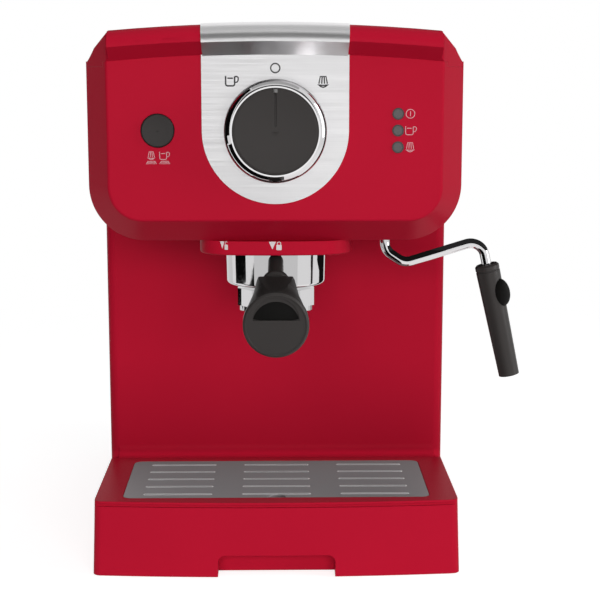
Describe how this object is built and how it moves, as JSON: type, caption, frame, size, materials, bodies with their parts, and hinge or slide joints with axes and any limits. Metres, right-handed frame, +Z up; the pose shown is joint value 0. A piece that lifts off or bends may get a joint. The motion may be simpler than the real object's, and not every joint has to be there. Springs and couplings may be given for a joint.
{
  "type": "espresso machine",
  "caption": "Pump espresso machine: overhanging head with dial and bayonet portafilter, swinging steam wand, pull-out drip tray and lift-out water tank behind the column.",
  "frame": {"origin": "on the counter, in the machine's middle plane, half way between tray front and base rear", "axes": "+X to the right seen from the front, +Y to the back, +Z up"},
  "size_m": [0.2774, 0.3522, 0.3261],
  "materials": {
    "red_moulding": "satin red moulded plastic",
    "black_moulding": "fine matt black plastic",
    "clear_tank": "clear smoke-free plastic",
    "brushed_steel": "fine brushed steel",
    "chrome": "bright chrome plating",
    "cast_alloy": "plain die cast alloy",
    "rubber": "dull rubber",
    "silicone": "translucent silicone",
    "copper_pipe": "drawn copper",
    "circuit_board": "green board",
    "pump_case": "glass filled plastic and steel",
    "light_lens": "milky light pipe"
  },
  "bodies": {
    "machine": {"base_pan": "red_moulding", "rubber_feet": "rubber", "base_screws": "brushed_steel", "cord_gland": "black_moulding", "housing": "red_moulding", "fascia": "red_moulding", "top_cover": "red_moulding", "control_plate": "brushed_steel", "brow_plate": "brushed_steel", "cup_plate": "brushed_steel", "selector_switch": "black_moulding", "button_switch": "black_moulding", "indicator_lights": "light_lens", "control_board": "circuit_board", "brew_collar": "red_moulding", "group_ring": "cast_alloy", "group_gasket": "rubber", "shower_screen": "brushed_steel", "screen_screw": "brushed_steel", "thermoblock": "cast_alloy", "thermostats": "black_moulding", "wand_bush": "black_moulding", "tank_seat": "black_moulding", "seat_seal": "rubber", "pump": "pump_case", "pump_mounts": "rubber", "pump_bracket": "brushed_steel", "suction_hose": "silicone", "pressure_hose": "silicone", "steam_pipe": "copper_pipe"},
    "portafilter": {"portafilter_cup": "chrome", "filter_basket": "brushed_steel", "double_spout": "chrome", "handle_neck": "black_moulding", "handle_ferrule": "black_moulding", "handle_grip": "black_moulding", "handle_cap": "black_moulding", "handle_stud": "brushed_steel"},
    "dial": {"dial_ring": "chrome", "dial_knob": "black_moulding", "dial_shaft": "cast_alloy"},
    "button": {"brew_button": "black_moulding"},
    "wand": {"wand_tube": "chrome", "steam_nozzle": "chrome"},
    "sleeve": {"frother_sleeve": "black_moulding"},
    "tray": {"drip_tray": "red_moulding"},
    "grill": {"drip_grill": "brushed_steel"},
    "tank": {"water_tank": "clear_tank", "tank_valve": "silicone", "lid_pin": "brushed_steel"},
    "lid": {"tank_lid": "red_moulding"}
  },
  "joints": [
    {"name": "portafilter_turn", "type": "hinge", "parent": "machine", "child": "portafilter", "pos_m": [0, -0.0735, 0.198], "axis": [0, 0, 1], "range_deg": [-43, 0]},
    {"name": "dial_turn", "type": "hinge", "parent": "machine", "child": "dial", "pos_m": [0, -0.134, 0.265], "axis": [0, 1, 0], "range_deg": [-43, 43]},
    {"name": "button_press", "type": "slide", "parent": "machine", "child": "button", "axis": [0, 1, 0], "range_m": [0, 0.0025], "stiffness_N_per_m": 400},
    {"name": "wand_swing", "type": "hinge", "parent": "machine", "child": "wand", "pos_m": [0.067, -0.087, 0.205], "axis": [0, 0, 1], "range_deg": [-90, 30]},
    {"name": "sleeve_pull", "type": "slide", "parent": "wand", "child": "sleeve", "axis": [0.2181, 0, -0.9759], "range_m": [0, 0.045]},
    {"name": "tray_slide", "type": "slide", "parent": "machine", "child": "tray", "axis": [0, -1, 0], "range_m": [0, 0.1]},
    {"name": "grill_lift", "type": "slide", "parent": "tray", "child": "grill", "axis": [0, 0, 1], "range_m": [0, 0.03]},
    {"name": "tank_lift", "type": "slide", "parent": "machine", "child": "tank", "axis": [0, 0, 1], "range_m": [0, 0.15]},
    {"name": "lid_open", "type": "hinge", "parent": "tank", "child": "lid", "pos_m": [0, 0.1384, 0.30065], "axis": [-1, 0, 0], "range_deg": [0, 95]}
  ]
}
